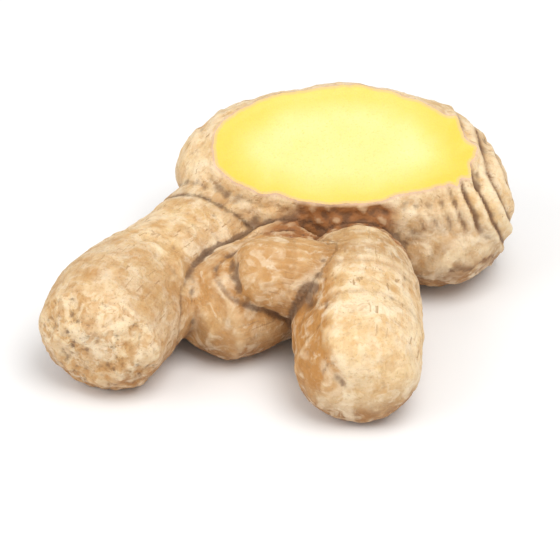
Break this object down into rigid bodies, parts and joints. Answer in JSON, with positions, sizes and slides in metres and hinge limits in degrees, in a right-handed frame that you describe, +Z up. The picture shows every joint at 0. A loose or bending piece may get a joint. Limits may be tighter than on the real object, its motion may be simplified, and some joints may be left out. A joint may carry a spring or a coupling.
{
  "type": "ginger root",
  "caption": "A branched ginger rhizome lying on its lobes: a ridged main lobe with an oblique knife cut showing yellow flesh, a thick finger, small knobs and a blunt side lobe.",
  "frame": {"origin": "centre of the bounding box in X and Y, at its lowest point, where the lobes rest on a surface", "axes": "+X along the longest side, from the blunt side lobe to the growing end of the ridged main lobe; +Y from the tips of the finger and the side lobe toward the main lobe; +Z up"},
  "size_m": [0.1074, 0.0952, 0.042],
  "materials": {
    "skin": "dry papery skin, matt; the cut face is moist yellow flesh"
  },
  "bodies": {
    "root": {"ginger_root": "skin"}
  },
  "joints": []
}
